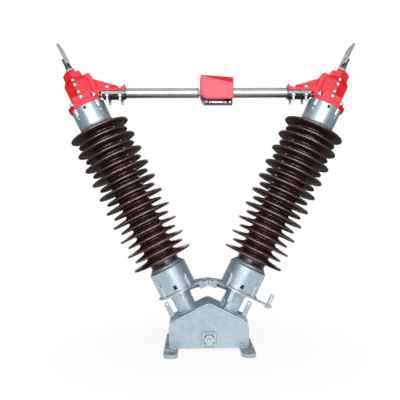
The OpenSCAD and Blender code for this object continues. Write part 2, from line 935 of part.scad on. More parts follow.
// Sloping underside of the hood's top, open downwards and past both ends
module hood_hollow() {
    from = -hood_left_x - 1;
    to = hood_right_x + 1;
    polygon([[from, -2 * hood_drop], [to, -2 * hood_drop],
        [to, hood_top_at(to) - hood_t], [from, hood_top_at(from) - hood_t]]);
}

// Everything beyond the bevels along the hood's two top edges, the bevels moved in by the inset
module hood_bevels(inset) {
    hood_l = hood_left_x + hood_right_x;
    line_fall = atan((hood_fall + hood_bevel_right - hood_bevel_left) / hood_l);
    block_l = 2 * hood_l;
    block_h = hood_half_d;
    for (side = [0, 1]) mirror([0, side, 0])
        translate([-hood_left_x, -hood_half_d, hood_top - hood_bevel_left])
            rotate([0, line_fall, 0])
                rotate([hood_bevel_slope, 0, 0])
                    translate([-hood_l / 2, -block_h, -inset]) cube([block_l, 2 * block_h, block_h]);
}

// Rolled lip along the left and lower edges of the hood's front and rear walls
module hood_lip() {
    below = hood_lip_w + hood_bevel_left;
    difference() {
        hood_front(0);
        hood_front(hood_lip_w);
        polygon([[-hood_left_x - 1, hood_top + 1], [-hood_left_x - 1, hood_top_at(-hood_left_x) - below],
            [hood_right_x + 1, hood_top_at(hood_right_x) - below], [hood_right_x + 1, hood_top + 1]]);
    }
}

module contact_hood() {
    color(red) translate([0, 0, blade_z]) union() {
        difference() {
            intersection() {
                slab(2 * hood_half_d) hood_front(0);
                along_x(-hood_left_x, hood_right_x) hood_end(0, -hood_drop);
            }
            difference() {
                intersection() {
                    slab(2 * hood_half_d) hood_hollow();
                    along_x(-hood_left_x - 1, hood_right_x + 1) hood_end(hood_t, -2 * hood_drop);
                }
                hood_bevels(hood_t);
            }
            hood_bevels(0);
        }
        for (side = [-1, 1]) translate([0, side * (hood_half_d + hood_lip_t / 2), 0])
            slab(hood_lip_t) hood_lip();
    }
}

// Drive parts on the right post

module operating_lever() {
    color(steel) on_right_post() translate([0, 0, -lever_t]) difference() {
        linear_extrude(height = lever_t) union() {
            translate([-lever_r, -lever_w / 2]) square([lever_r - sector_in_r, lever_w]);
            translate([-lever_r, 0]) circle(d = lever_w);
        }
        translate([-lever_r, 0, -1]) cylinder(d = 0.75 * pin_d + 0.2, h = lever_t + 2);
    }
}

module lever_pin() {
    nut_h = pin_d / 2;
    color(silver) on_right_post() translate([-lever_r, 0, 0]) union() {
        cylinder(d = pin_d, h = pin_l);
        translate([0, 0, -lever_t - nut_h]) cylinder(d = 0.75 * pin_d, h = lever_t + nut_h);
        translate([0, 0, -lever_t - nut_h]) cylinder(d = 1.3 * pin_d, h = nut_h, $fn = 6);
    }
}

module stop_tab() {
    color(silver) on_right_post() rotate([0, 0, tab_turn - 90])
        translate([sector_in_r, -tab_w / 2, -tab_l]) cube([tab_t, tab_w, tab_l]);
}

// Terminals

module terminal() {
    pad_x = stem_top_d / 2 - pad_t;
    pad_mid = pad_z + pad_l / 2;
    translate([0, 0, housing_s + housing_h]) difference() {
        union() {
            translate([0, 0, -stem_depth]) cylinder(d = stem_d, h = stem_depth);
            cylinder(d1 = stem_d, d2 = stem_top_d, h = stem_cone_h);
            translate([0, 0, stem_cone_h]) cylinder(d = stem_top_d, h = stem_h - stem_cone_h);
            translate([pad_x, -pad_w / 2, pad_z]) cube([pad_t, pad_w, pad_l]);
        }
        for (y = [-1, 1], z = [-1, 1])
            translate([pad_x - 1, y * pad_pitch / 2, pad_mid + z * pad_pitch / 2])
                rotate([0, 90, 0]) cylinder(d = pad_hole_d, h = pad_t + 2);
    }
}

module left_terminal() {
    color(silver) on_left_post() terminal();
}

module right_terminal() {
    color(silver) on_right_post() terminal();
}

base_front_plate();
base_rear_plate();
base_left_side();
base_right_side();
base_left_roof();
base_right_roof();
left_foot_bar();
right_foot_bar();
left_bearing_housing();
right_bearing_housing();
left_lock_bracket();
right_lock_bracket();
earth_terminal();
closing_stop();
left_shaft();
left_lower_flange();
left_insulator();
left_top_cap();
left_gear_sector();
left_terminal_housing();
left_arm_bracket();
left_tube_clamp();
left_clamp_bolts();
left_blade_tube();
contact_tongue();
right_shaft();
right_lower_flange();
right_insulator();
right_top_cap();
right_gear_sector();
right_terminal_housing();
right_arm_bracket();
right_tube_clamp();
right_clamp_bolts();
right_blade_tube();
operating_lever();
lever_pin();
stop_tab();
finger_carrier();
upper_fingers();
lower_fingers();
contact_hood();
left_terminal();
right_terminal();
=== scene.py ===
import json

import bmesh
import bpy
import numpy as np
from mathutils import Matrix, Vector


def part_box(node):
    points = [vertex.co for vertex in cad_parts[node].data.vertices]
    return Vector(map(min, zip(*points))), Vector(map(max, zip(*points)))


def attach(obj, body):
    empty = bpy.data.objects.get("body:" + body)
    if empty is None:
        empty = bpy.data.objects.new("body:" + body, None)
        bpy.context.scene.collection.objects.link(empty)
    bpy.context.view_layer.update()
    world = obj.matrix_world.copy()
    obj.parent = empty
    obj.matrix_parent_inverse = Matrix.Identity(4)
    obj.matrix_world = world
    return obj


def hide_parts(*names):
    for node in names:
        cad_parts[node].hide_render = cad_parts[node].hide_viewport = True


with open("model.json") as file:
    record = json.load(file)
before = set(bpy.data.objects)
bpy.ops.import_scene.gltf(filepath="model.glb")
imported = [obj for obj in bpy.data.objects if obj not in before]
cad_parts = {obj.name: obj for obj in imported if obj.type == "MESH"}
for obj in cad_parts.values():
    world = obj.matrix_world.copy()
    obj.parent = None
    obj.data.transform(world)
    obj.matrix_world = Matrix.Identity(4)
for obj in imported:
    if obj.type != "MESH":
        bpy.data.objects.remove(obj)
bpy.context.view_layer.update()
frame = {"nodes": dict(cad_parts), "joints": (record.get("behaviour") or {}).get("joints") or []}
nodes = frame["nodes"]
joints = {joint["name"]: joint for joint in frame["joints"]}
scene = bpy.context.scene
print("frame loaded:", len(nodes), "nodes")


# Helpers for meshes

ringSteps = 72  # faces round a turned ring
rodSteps = 12  # faces round a thin rod
softCrease = 38.0  # degrees; a sharper corner keeps its edge
boltSkew = np.array([0.37, 0.21, 0.90])  # runs along no bolt


def postFrame(jointName):
    joint = joints[jointName]
    up = np.array(joint["axis"]) * np.sign(joint["axis"][2])
    inward = np.array([-np.sign(up[0]) * up[2], 0.0, abs(up[0])])
    axes = np.stack([inward, np.array([0.0, 1.0, 0.0]), up])
    return {"body": joint["child"], "side": joint["child"].split("_")[0],
            "origin": np.array(joint["pos_m"]), "axes": axes}


posts = [postFrame("left_post_turn"), postFrame("right_post_turn")]


def onPost(post, local):  # local: towards the middle, to the rear, up the post, in mm
    return post["origin"] + np.asarray(local, float) / 1000 @ post["axes"]


def alongPost(post, direction):
    return np.asarray(direction, float) @ post["axes"]


def unit(vectors):
    return vectors / np.linalg.norm(vectors, axis=-1, keepdims=True)


def fullTurn(count):
    return np.linspace(0.0, 2 * np.pi, count, endpoint=False)


def roundOutline(radius, count=rodSteps):
    # circle: radius * cos, radius * sin
    return radius * np.column_stack([np.cos(fullTurn(count)), np.sin(fullTurn(count))])


def addPiece(name, points, faces, body, slotName, crease=softCrease):
    mesh = bpy.data.meshes.new(name)
    mesh.from_pydata(np.asarray(points).reshape(-1, 3).tolist(), [], faces)
    shell = bmesh.new()
    shell.from_mesh(mesh)
    bmesh.ops.recalc_face_normals(shell, faces=shell.faces)
    shell.to_mesh(mesh)
    shell.free()
    mesh.shade_smooth()
    mesh.set_sharp_from_angle(angle=np.radians(crease))
    mesh.materials.append(materials[slotName])
    piece = bpy.data.objects.new(name, mesh)
    scene.collection.objects.link(piece)
    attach(piece, body)
    return piece


def skinFaces(copies, rows, around, loop=False):
    # grid of rows x around, closed round the second parameter; a loop also closes the first
    index = np.arange(copies * rows * around).reshape(copies, rows, around)
    low = index if loop else index[:, :-1]
    high = np.roll(index, -1, axis=1) if loop else index[:, 1:]
    quads = np.stack([low, np.roll(low, -1, 2), np.roll(high, -1, 2), high], axis=-1)
    faces = quads.reshape(-1, 4).tolist()
    if not loop:
        faces += index[:, 0].tolist() + index[:, -1].tolist()
    return faces


def ringPoints(post, profile, count=ringSteps):
    # outline (radius, height) turned about the post axis: radius * cos, radius * sin, height
    profile = np.asarray(profile, float)
    angle = fullTurn(count)
    radius = profile[:, :1]
    height = np.broadcast_to(profile[:, 1:], (len(profile), count))
    return onPost(post, np.stack([radius * np.cos(angle), radius * np.sin(angle), height], axis=-1))


def addRing(post, label, profile, slotName, crease=softCrease):
    faces = skinFaces(1, len(profile), ringSteps, loop=True)
    addPiece(post["side"] + "_" + label, ringPoints(post, profile), faces, post["body"], slotName, crease)


def addSweep(name, path, outline, reference, body, slotName, crease=softCrease):
    # outline (side, lift) carried along a path: path + u * side + v * lift, in metres
    tangent = unit(np.gradient(path, axis=0))
    side = unit(np.cross(tangent, reference))
    lift = np.cross(side, tangent)
    outline = np.broadcast_to(outline, (len(path),) + outline.shape[-2:])
    points = path[:, None] + outline[..., :1] * side[:, None] + outline[..., 1:] * lift[:, None]
    addPiece(name, points, skinFaces(1, len(path), outline.shape[-2]), body, slotName, crease)


def densePath(path, step):
    # points every step along a broken line
    path = np.asarray(path, float)
    along = np.concatenate([[0.0], np.cumsum(np.linalg.norm(np.diff(path, axis=0), axis=1))])
    fine = np.linspace(0.0, along[-1], int(along[-1] / step) + 2)
    return np.column_stack([np.interp(fine, along, path[:, axis]) for axis in range(3)])


def blockPoints(low, high):
    # eight corners of a block, two rows of four
    across = np.array([(0, 0), (1, 0), (1, 1), (0, 1)], float)
    share = np.stack([np.column_stack([across, np.full(4, level)]) for level in (0.0, 1.0)])
    return np.asarray(low) + share * (np.asarray(high) - np.asarray(low))


boltShape = {"around": 24, "washer": 0.68, "bevel": 0.48, "threadFoot": 0.27, "threadEnd": 0.24,
             "bevelStart": 0.8}  # shares of the width, the last one of the head's height


def addBolts(name, places, axis, body, bolt):
    # washer disc, six-sided head with a turned bevel, and a thread end: place + radius * (cos a * side
    # + sin a * lift) + height * axis; a hexagon's radius is half its width / cos(angle from a side's middle)
    width = bolt["width"] / 1000
    angle = fullTurn(boltShape["around"])
    six = width / 2 / np.cos((angle + np.pi / 6) % (np.pi / 3) - np.pi / 6)
    disc = np.ones(len(angle)) * width
    headTop = bolt["washer"] + bolt["head"]
    rows = [(disc * boltShape["washer"], -bolt["sink"]), (disc * boltShape["washer"], bolt["washer"]),
            (six, bolt["washer"]), (six, bolt["washer"] + boltShape["bevelStart"] * bolt["head"]),
            (np.minimum(six, width * boltShape["bevel"]), headTop),
            (disc * boltShape["threadFoot"], headTop),
            (disc * boltShape["threadEnd"], headTop + bolt["tail"])]
    radius = np.stack([row[0] for row in rows])[None, :, :, None]
    height = np.array([row[1] for row in rows])[None, :, None, None] / 1000
    axis = unit(np.asarray(axis, float))
    side = unit(np.cross(axis, boltSkew))
    ring = np.cos(angle)[:, None] * side + np.sin(angle)[:, None] * np.cross(axis, side)
    points = np.asarray(places)[:, None, None] + radius * ring + height * axis
    addPiece(name, points, skinFaces(len(points), len(rows), len(angle)), body, "zinc_fastener")


# Helpers for materials

def setInputs(tree, node, values):
    for key, value in values.items():
        if isinstance(value, bpy.types.NodeSocket):
            tree.links.new(value, node.inputs[key])
        else:
            node.inputs[key].default_value = value


def put(tree, kind, values=None, **options):
    node = tree.nodes.new(kind)
    for key, value in options.items():
        setattr(node, key, value)
    setInputs(tree, node, values or {})
    return node


def calc(tree, operation, first, second):
    return put(tree, "ShaderNodeMath", {0: first, 1: second}, operation=operation).outputs[0]


def blend(tree, factor, first, second, mode="MIX"):
    node = put(tree, "ShaderNodeMix", {0: factor, 6: first, 7: second}, data_type="RGBA", blend_type=mode)
    return node.outputs[2]


def ramp(tree, value, low, high, toLow=0.0, toHigh=1.0):
    node = put(tree, "ShaderNodeMapRange",
               {"Value": value, "From Min": low, "From Max": high, "To Min": toLow, "To Max": toHigh},
               interpolation_type="SMOOTHSTEP")
    return node.outputs["Result"]


def noise(tree, vector, scale, detail, roughness=0.5):
    return put(tree, "ShaderNodeTexNoise", {"Vector": vector, "Scale": scale, "Detail": detail,
                                            "Roughness": roughness}).outputs["Fac"]


def shaded(tree, colour, shade):
    # the colour times a grey
    grey = put(tree, "ShaderNodeCombineColor", {0: shade, 1: shade, 2: shade}).outputs[0]
    return blend(tree, 1.0, colour, grey, "MULTIPLY")


def newGroup(name, inputs, outputs):
    tree = bpy.data.node_groups.new(name, "ShaderNodeTree")
    for label, kind, value in [("Vector", "Vector", None)] + inputs:
        socket = tree.interface.new_socket(name=label, in_out="INPUT", socket_type="NodeSocket" + kind)
        if value is not None:
            socket.default_value = value
    for label, kind in outputs:
        tree.interface.new_socket(name=label, in_out="OUTPUT", socket_type="NodeSocket" + kind)
    return tree, tree.nodes.new("NodeGroupInput").outputs, tree.nodes.new("NodeGroupOutput")


def facing(tree):
    normal = put(tree, "ShaderNodeTexCoord").outputs["Normal"]
    return put(tree, "ShaderNodeSeparateXYZ", {0: normal}).outputs


# Shared effects

def makeTone():
    # uneven tone: coarse and fine noise together choose between two colours
    tree, given, end = newGroup("weatheredTone", [("Scale", "Float", 12.0), ("Contrast", "Float", 0.25),
                                                  ("Dark", "Color", (0.3, 0.3, 0.3, 1)),
                                                  ("Light", "Color", (0.6, 0.6, 0.6, 1))],
                                [("Colour", "Color"), ("Value", "Float")])
    coarse = noise(tree, given["Vector"], given["Scale"], 5.0, 0.62)
    fine = noise(tree, given["Vector"], calc(tree, "MULTIPLY", given["Scale"], 7.3), 3.0, 0.55)
    share = calc(tree, "ADD", calc(tree, "MULTIPLY", coarse, 0.7), calc(tree, "MULTIPLY", fine, 0.3))
    low = calc(tree, "SUBTRACT", 0.5, given["Contrast"])
    high = calc(tree, "ADD", 0.5, given["Contrast"])
    value = ramp(tree, share, low, high)
    setInputs(tree, end, {"Colour": blend(tree, value, given["Dark"], given["Light"]), "Value": value})
    return tree


def makeSpangle():
    # zinc crystals: every Voronoi cell has its own shade, and noise bends the cells
    tree, given, end = newGroup("zincSpangle", [("Scale", "Float", 90.0)], [("Value", "Float")])
    wander = put(tree, "ShaderNodeTexNoise", {"Vector": given["Vector"], "Scale": 60.0, "Detail": 2.0})
    shift = put(tree, "ShaderNodeVectorMath", {0: wander.outputs["Color"], "Scale": 0.012},
                operation="SCALE").outputs[0]
    moved = put(tree, "ShaderNodeVectorMath", {0: given["Vector"], 1: shift}, operation="ADD").outputs[0]
    cells = put(tree, "ShaderNodeTexVoronoi", {"Vector": moved, "Scale": given["Scale"]})
    split = put(tree, "ShaderNodeSeparateColor", {"Color": cells.outputs["Color"]})
    setInputs(tree, end, {"Value": split.outputs[0]})
    return tree


def makeEdge():
    # worn edges: the rounded normal leaves the true one where a corner is near
    tree, given, end = newGroup("wornEdge", [("Radius", "Float", 0.002)], [("Mask", "Float")])
    rounded = put(tree, "ShaderNodeBevel", {"Radius": given["Radius"]}, samples=4).outputs[0]
    surface = put(tree, "ShaderNodeNewGeometry").outputs["Normal"]
    turn = put(tree, "ShaderNodeVectorMath", {0: rounded, 1: surface},
               operation="DOT_PRODUCT").outputs["Value"]
    patch = ramp(tree, noise(tree, given["Vector"], 46.0, 4.0), 0.38, 0.62)
    setInputs(tree, end, {"Mask": calc(tree, "MULTIPLY", ramp(tree, turn, 0.99, 0.86), patch)})
    return tree


def patchyGroup(name, inputs, makeMask):
    # a mask of some kind, times the amount that the material asks for
    tree, given, end = newGroup(name, inputs + [("Amount", "Float", 0.5)], [("Mask", "Float")])
    setInputs(tree, end, {"Mask": calc(tree, "MULTIPLY", makeMask(tree, given), given["Amount"])})
    return tree


def dustMask(tree, given):  # dust lies on what faces up, in patches
    patch = ramp(tree, noise(tree, given["Vector"], 19.0, 6.0, 0.65), 0.32, 0.68)
    return calc(tree, "MULTIPLY", ramp(tree, facing(tree)["Z"], 0.35, 0.95), patch)


def runMask(tree, given):  # rain marks: noise drawn out along the fall line
    drawn = put(tree, "ShaderNodeMapping", {"Vector": given["Vector"], "Scale": (1.0, 1.0, 0.07)}).outputs[0]
    lines = ramp(tree, noise(tree, drawn, given["Scale"], 4.0, 0.6), 0.52, 0.72)
    return calc(tree, "MULTIPLY", lines, ramp(tree, noise(tree, given["Vector"], 6.0, 2.0), 0.40, 0.65))


def filmMask(tree, given):  # dull film on what faces down, where rain never rinses it
    patch = ramp(tree, noise(tree, given["Vector"], 31.0, 5.0), 0.20, 0.50, 0.75, 1.0)
    return calc(tree, "MULTIPLY", ramp(tree, facing(tree)["Z"], -0.25, -0.75), patch)


def frontSheenMask(tree, given):  # painted sheen: most on what faces the front and the middle, least on tops
    normal = facing(tree)
    place = put(tree, "ShaderNodeSeparateXYZ", {0: given["Vector"]}).outputs
    outward = calc(tree, "MULTIPLY", normal["X"], calc(tree, "SIGN", place["X"], 0.0))
    share = calc(tree, "SUBTRACT", calc(tree, "MULTIPLY", normal["Y"], -0.75),
                 calc(tree, "MULTIPLY", outward, 0.60))
    share = calc(tree, "SUBTRACT", share, calc(tree, "MULTIPLY", normal["Z"], 0.45))
    patch = ramp(tree, noise(tree, given["Vector"], 9.0, 5.0), 0.30, 0.70, 0.82, 1.0)
    return calc(tree, "MULTIPLY", ramp(tree, share, 0.28, 0.85), patch)


def creviceShadeMask(tree, given):  # painted shade in corners: darkest where a spot sees little of the sky within reach
    sky = put(tree, "ShaderNodeAmbientOcclusion", {"Distance": given["Reach"]}, samples=6).outputs["AO"]
    patch = ramp(tree, noise(tree, given["Vector"], 70.0, 3.0), 0.25, 0.60, 0.65, 1.0)
    return calc(tree, "MULTIPLY", ramp(tree, sky, 0.82, 0.38), patch)


def makeGrain():
    # fine unevenness: two noises raise and lower the surface
    tree, given, end = newGroup("surfaceGrain", [("Scale", "Float", 400.0), ("Depth", "Float", 0.0003),
                                                 ("Strength", "Float", 0.4)], [("Normal", "Vector")])
    fine = noise(tree, given["Vector"], given["Scale"], 3.0, 0.6)
    broad = noise(tree, given["Vector"], calc(tree, "MULTIPLY", given["Scale"], 0.13), 2.0)
    height = calc(tree, "ADD", calc(tree, "MULTIPLY", fine, 0.5), broad)
    bump = put(tree, "ShaderNodeBump", {"Strength": given["Strength"], "Distance": given["Depth"],
                                        "Height": height})
    setInputs(tree, end, {"Normal": bump.outputs[0]})
    return tree


effects = {"tone": makeTone(), "spangle": makeSpangle(), "edge": makeEdge(), "grain": makeGrain(),
           "dust": patchyGroup("settledDust", [], dustMask),
           "runs": patchyGroup("rainRuns", [("Scale", "Float", 40.0)], runMask),
           "film": patchyGroup("shelteredFilm", [], filmMask),
           "bleach": patchyGroup("sunBleach", [], frontSheenMask),
           "crevice": patchyGroup("creviceDirt", [("Reach", "Float", 0.012)], creviceShadeMask)}
print("effects made:", len(effects))


# Materials, one for each slot of the record

def startMaterial(name):
    material = bpy.data.materials.new(name)
    material.use_nodes = True
    tree = material.node_tree
    tree.nodes.clear()
    shader = put(tree, "ShaderNodeBsdfPrincipled")
    output = put(tree, "ShaderNodeOutputMaterial", {"Surface": shader.outputs[0]})
    output.is_active_output = True
    coords = put(tree, "ShaderNodeTexCoord").outputs["Object"]
    return material, tree, shader, coords


def useEffect(tree, effect, coords, values):
    return put(tree, "ShaderNodeGroup", {"Vector": coords, **values}, node_tree=effects[effect]).outputs


def useTone(tree, coords, look):
    return useEffect(tree, "tone", coords, {"Scale": look["toneScale"], "Contrast": look["toneContrast"],
                                            "Dark": look["dark"], "Light": look["light"]})


def useGrain(tree, coords, look):
    return useEffect(tree, "grain", coords, {"Scale": look["grainScale"], "Depth": look["grainDepth"],
                                             "Strength": look["grainStrength"]})["Normal"]


def useRuns(tree, coords, look):
    return useEffect(tree, "runs", coords, {"Scale": look["runScale"], "Amount": look["runAmount"]})["Mask"]


def useCreviceShade(tree, coords, look):
    return useEffect(tree, "crevice", coords, {"Reach": look["creviceReach"],
                                               "Amount": look["creviceAmount"]})["Mask"]


galvanisedLook = {"dark": (0.37, 0.465, 0.545, 1), "light": (0.54, 0.655, 0.735, 1),
                  "toneScale": 7.0, "toneContrast": 0.34,
                  "spangleScale": 150.0, "spangleShade": (0.95, 1.04),
                  "stain": (0.20, 0.20, 0.20, 1), "runScale": 55.0, "runAmount": 0.25,
                  "dust": (0.185, 0.235, 0.285, 1), "dustAmount": 0.85, "dustRough": 0.6,
                  "edge": (0.74, 0.78, 0.81, 1), "edgeRadius": 0.003,
                  "crevice": (0.055, 0.065, 0.075, 1), "creviceReach": 0.014, "creviceAmount": 0.75,
                  "grainScale": 300.0, "grainDepth": 0.0006, "grainStrength": 0.35,
                  "metallic": 0.65, "roughness": (0.29, 0.40)}


def makeGalvanised(name, look):
    material, tree, shader, coords = startMaterial(name)
    spangle = useEffect(tree, "spangle", coords, {"Scale": look["spangleScale"]})["Value"]
    shade = ramp(tree, spangle, 0.0, 1.0, *look["spangleShade"])
    colour = shaded(tree, useTone(tree, coords, look)["Colour"], shade)
    colour = blend(tree, useRuns(tree, coords, look), colour, look["stain"])
    dust = useEffect(tree, "dust", coords, {"Amount": look["dustAmount"]})["Mask"]
    colour = blend(tree, dust, colour, look["dust"])
    edge = useEffect(tree, "edge", coords, {"Radius": look["edgeRadius"]})["Mask"]
    colour = blend(tree, edge, colour, look["edge"])
    # painted shade in corners and joints
    colour = blend(tree, useCreviceShade(tree, coords, look), colour, look["crevice"])
    clean = ramp(tree, spangle, 0.0, 1.0, *look["roughness"])
    dusty = calc(tree, "MULTIPLY", dust, look["dustRough"])  # dust dulls the zinc
    setInputs(tree, shader, {"Base Color": colour, "Roughness": calc(tree, "ADD", clean, dusty),
                             "Metallic": ramp(tree, dust, 0.0, 1.0, look["metallic"], 0.0),
                             "Normal": useGrain(tree, coords, look)})
    return material


porcelainLook = {"dark": (0.034, 0.008, 0.007, 1), "light": (0.090, 0.024, 0.020, 1),
                 "toneScale": 9.0, "toneContrast": 0.22,
                 "thin": (0.080, 0.021, 0.014, 1), "rimRadius": 0.004,  # glaze runs thin at the rims
                 "dust": (0.15, 0.085, 0.07, 1), "dustAmount": 0.16,
                 "speck": (0.010, 0.004, 0.003, 1), "speckScale": 900.0, "speckShare": 0.5,
                 "film": (0.050, 0.036, 0.022, 1), "filmShare": 0.7, "filmRough": 0.4,
                 "footTop": 0.338, "footEase": 0.012, "footDull": 0.75,  # painted shade on the core below the lowest shed
                 "roughness": (0.22, 0.34), "specular": 0.10, "coatRoughness": 0.24, "coatIor": 2.0}


def makePorcelain(name, look):
    material, tree, shader, coords = startMaterial(name)
    rim = useEffect(tree, "edge", coords, {"Radius": look["rimRadius"]})["Mask"]
    colour = blend(tree, rim, useTone(tree, coords, look)["Colour"], look["thin"])
    dust = useEffect(tree, "dust", coords, {"Amount": look["dustAmount"]})["Mask"]
    colour = blend(tree, dust, colour, look["dust"])
    speck = ramp(tree, noise(tree, coords, look["speckScale"], 1.0), 0.70, 0.76, 0.0, look["speckShare"])
    colour = blend(tree, speck, colour, look["speck"])
    film = useEffect(tree, "film", coords, {"Amount": 1.0})["Mask"]
    colour = blend(tree, calc(tree, "MULTIPLY", film, look["filmShare"]), colour, look["film"])
    # painted shade: the core below the lowest shed is darkened to the speck colour and dulled
    height = put(tree, "ShaderNodeSeparateXYZ", {0: coords}).outputs["Z"]
    foot = ramp(tree, height, look["footTop"] - look["footEase"], look["footTop"] + look["footEase"],
                1.0, 0.0)
    colour = blend(tree, foot, colour, look["speck"])
    dull = calc(tree, "MAXIMUM", film, calc(tree, "MULTIPLY", foot, look["footDull"]))
    rough = ramp(tree, dust, 0.0, look["dustAmount"], *look["roughness"])
    rough = calc(tree, "ADD", rough, calc(tree, "MULTIPLY", film, look["filmRough"]))
    setInputs(tree, shader, {"Base Color": colour, "Roughness": rough,
                             "Specular IOR Level": look["specular"],
                             "Coat Weight": ramp(tree, dull, 0.0, 0.9, 1.0, 0.0),
                             "Coat Roughness": look["coatRoughness"], "Coat IOR": look["coatIor"]})
    return material


redLook = {"dark": (0.74, 0.0005, 0.002, 1), "light": (0.92, 0.001, 0.004, 1),
           "toneScale": 11.0, "toneContrast": 0.26,
           "faded": (0.90, 0.13, 0.13, 1), "fadedAmount": 0.45,  # tops
           "bleached": (1.0, 0.182, 0.240, 1),
           "crevice": (0.13, 0.001, 0.002, 1), "creviceReach": 0.013, "creviceAmount": 0.85,
           "dirt": (0.20, 0.015, 0.015, 1), "runScale": 70.0, "runAmount": 0.28,
           "chip": (0.30, 0.29, 0.28, 1), "chipRadius": 0.0018, "chipShare": 0.7,
           "grainScale": 260.0, "grainStrength": 0.35, "roughSpread": 0.12, "specular": 0.15}
castingLook = {**redLook, "grainDepth": 0.0007, "roughness": 0.34, "bleachAmount": 0.42}
sheetLook = {**redLook, "grainDepth": 0.0003, "roughness": 0.28, "bleachAmount": 1.0}


def makeRed(name, look):
    material, tree, shader, coords = startMaterial(name)
    tone = useTone(tree, coords, look)
    top = useEffect(tree, "dust", coords, {"Amount": look["fadedAmount"]})["Mask"]
    colour = blend(tree, top, tone["Colour"], look["faded"])
    bleach = useEffect(tree, "bleach", coords, {"Amount": look["bleachAmount"]})["Mask"]
    # painted sheen: front-facing red lightened towards pink, as lamplight would
    colour = blend(tree, bleach, colour, look["bleached"])
    # painted shade in corners and joints
    colour = blend(tree, useCreviceShade(tree, coords, look), colour, look["crevice"])
    colour = blend(tree, useRuns(tree, coords, look), colour, look["dirt"])
    edge = useEffect(tree, "edge", coords, {"Radius": look["chipRadius"]})["Mask"]
    colour = blend(tree, ramp(tree, edge, 0.55, 0.95, 0.0, look["chipShare"]), colour, look["chip"])
    rough = ramp(tree, tone["Value"], 0.0, 1.0, look["roughness"], look["roughness"] + look["roughSpread"])
    setInputs(tree, shader, {"Base Color": colour, "Roughness": rough,
                             "Specular IOR Level": look["specular"],
                             "Normal": useGrain(tree, coords, look)})
    return material


brightLook = {"toneScale": 16.0, "toneContrast": 0.28, "lineShade": (0.84, 1.06),
              "lineDepth": 0.0003, "lineStrength": 0.12, "roughSpread": 0.16, "metallic": 0.85,
              "soot": (0.17, 0.17, 0.17, 1), "sootAmount": 0.5,
              "grime": (0.045, 0.045, 0.045, 1), "filmAmount": 0.75,
              "creviceReach": 0.009, "creviceAmount": 0.85}
tubeLook = {**brightLook, "dark": (0.60, 0.61, 0.62, 1), "light": (0.82, 0.83, 0.84, 1),
            "roughness": 0.26, "brushed": (4.0, 420.0, 420.0)}
clampLook = {**brightLook, "dark": (0.14, 0.145, 0.15, 1), "light": (0.34, 0.34, 0.35, 1),
             "roughness": 0.32, "brushed": (90.0, 90.0, 90.0)}
fastenerLook = {**brightLook, "dark": (0.50, 0.60, 0.68, 1), "light": (0.76, 0.86, 0.92, 1),
                "roughness": 0.26, "brushed": (160.0, 160.0, 160.0), "metallic": 0.45}
copperLook = {**brightLook, "dark": (0.14, 0.14, 0.15, 1), "light": (0.34, 0.34, 0.35, 1),
              "roughness": 0.30, "brushed": (240.0, 240.0, 20.0)}


def makeBright(name, look):
    material, tree, shader, coords = startMaterial(name)
    drawn = put(tree, "ShaderNodeMapping", {"Vector": coords, "Scale": look["brushed"]}).outputs[0]
    lines = noise(tree, drawn, 1.0, 4.0, 0.7)
    lineShade = ramp(tree, lines, 0.3, 0.7, *look["lineShade"])
    colour = shaded(tree, useTone(tree, coords, look)["Colour"], lineShade)
    soot = useEffect(tree, "dust", coords, {"Amount": look["sootAmount"]})["Mask"]
    colour = blend(tree, soot, colour, look["soot"])
    film = useEffect(tree, "film", coords, {"Amount": look["filmAmount"]})["Mask"]
    colour = blend(tree, film, colour, look["grime"])
    # painted shade in corners, in the grime colour
    colour = blend(tree, useCreviceShade(tree, coords, look), colour, look["grime"])
    bump = put(tree, "ShaderNodeBump", {"Strength": look["lineStrength"], "Distance": look["lineDepth"],
                                        "Height": lines})
    rough = ramp(tree, lines, 0.3, 0.7, look["roughness"], look["roughness"] + look["roughSpread"])
    setInputs(tree, shader, {"Base Color": colour, "Metallic": look["metallic"], "Roughness": rough,
                             "Normal": bump.outputs[0]})
    return material


contactLook = {"dark": (0.014, 0.012, 0.012, 1), "light": (0.060, 0.052, 0.050, 1),
               "toneScale": 22.0, "toneContrast": 0.25, "edge": (0.15, 0.14, 0.135, 1), "edgeRadius": 0.0016,
               "grainScale": 420.0, "grainDepth": 0.0004, "grainStrength": 0.35,
               "metallic": 0.55, "roughness": 0.48}


def makeContact(name, look):
    material, tree, shader, coords = startMaterial(name)
    edge = useEffect(tree, "edge", coords, {"Radius": look["edgeRadius"]})["Mask"]
    colour = blend(tree, edge, useTone(tree, coords, look)["Colour"], look["edge"])
    setInputs(tree, shader, {"Base Color": colour, "Metallic": look["metallic"],
                             "Roughness": look["roughness"], "Normal": useGrain(tree, coords, look)})
    return material


finishes = {"galvanised_steel": (makeGalvanised, galvanisedLook),
            "brown_porcelain": (makePorcelain, porcelainLook),
            "red_casting": (makeRed, castingLook), "red_sheet": (makeRed, sheetLook),
            "bright_tube": (makeBright, tubeLook), "clamp_alloy": (makeBright, clampLook),
            "zinc_fastener": (makeBright, fastenerLook), "dark_contact": (makeContact, contactLook),
            "tinned_copper": (makeBright, copperLook)}
materials = {name: make(name, look) for name, (make, look) in finishes.items()}
for node in nodes.values():
    for place, old in enumerate(node.data.materials):
        node.data.materials[place] = materials[old.name.split(".")[0]]
print("materials assigned:", len(materials))


# Porcelain bodies with the rounded roots and rims that glaze and firing leave

porcelain = {"foot": 110.0, "head": 737.0, "coreRadius": 58.0, "largeRadius": 122.5, "smallRadius": 105.0,
             "firstShed": 147.0, "pitch": 62.6, "largeCount": 10,
             "rootLow": 5.4, "rimLow": 4.8, "rimHigh": 4.2, "rootHigh": 13.6,  # from the shed's middle
             "ease": [(6.0, 9.0), (6.0, 4.0), (3.6, 9.0), (14.0, 7.0)],  # before and after each corner
             "easeSteps": 8, "around": 120, "crease": 60.0}


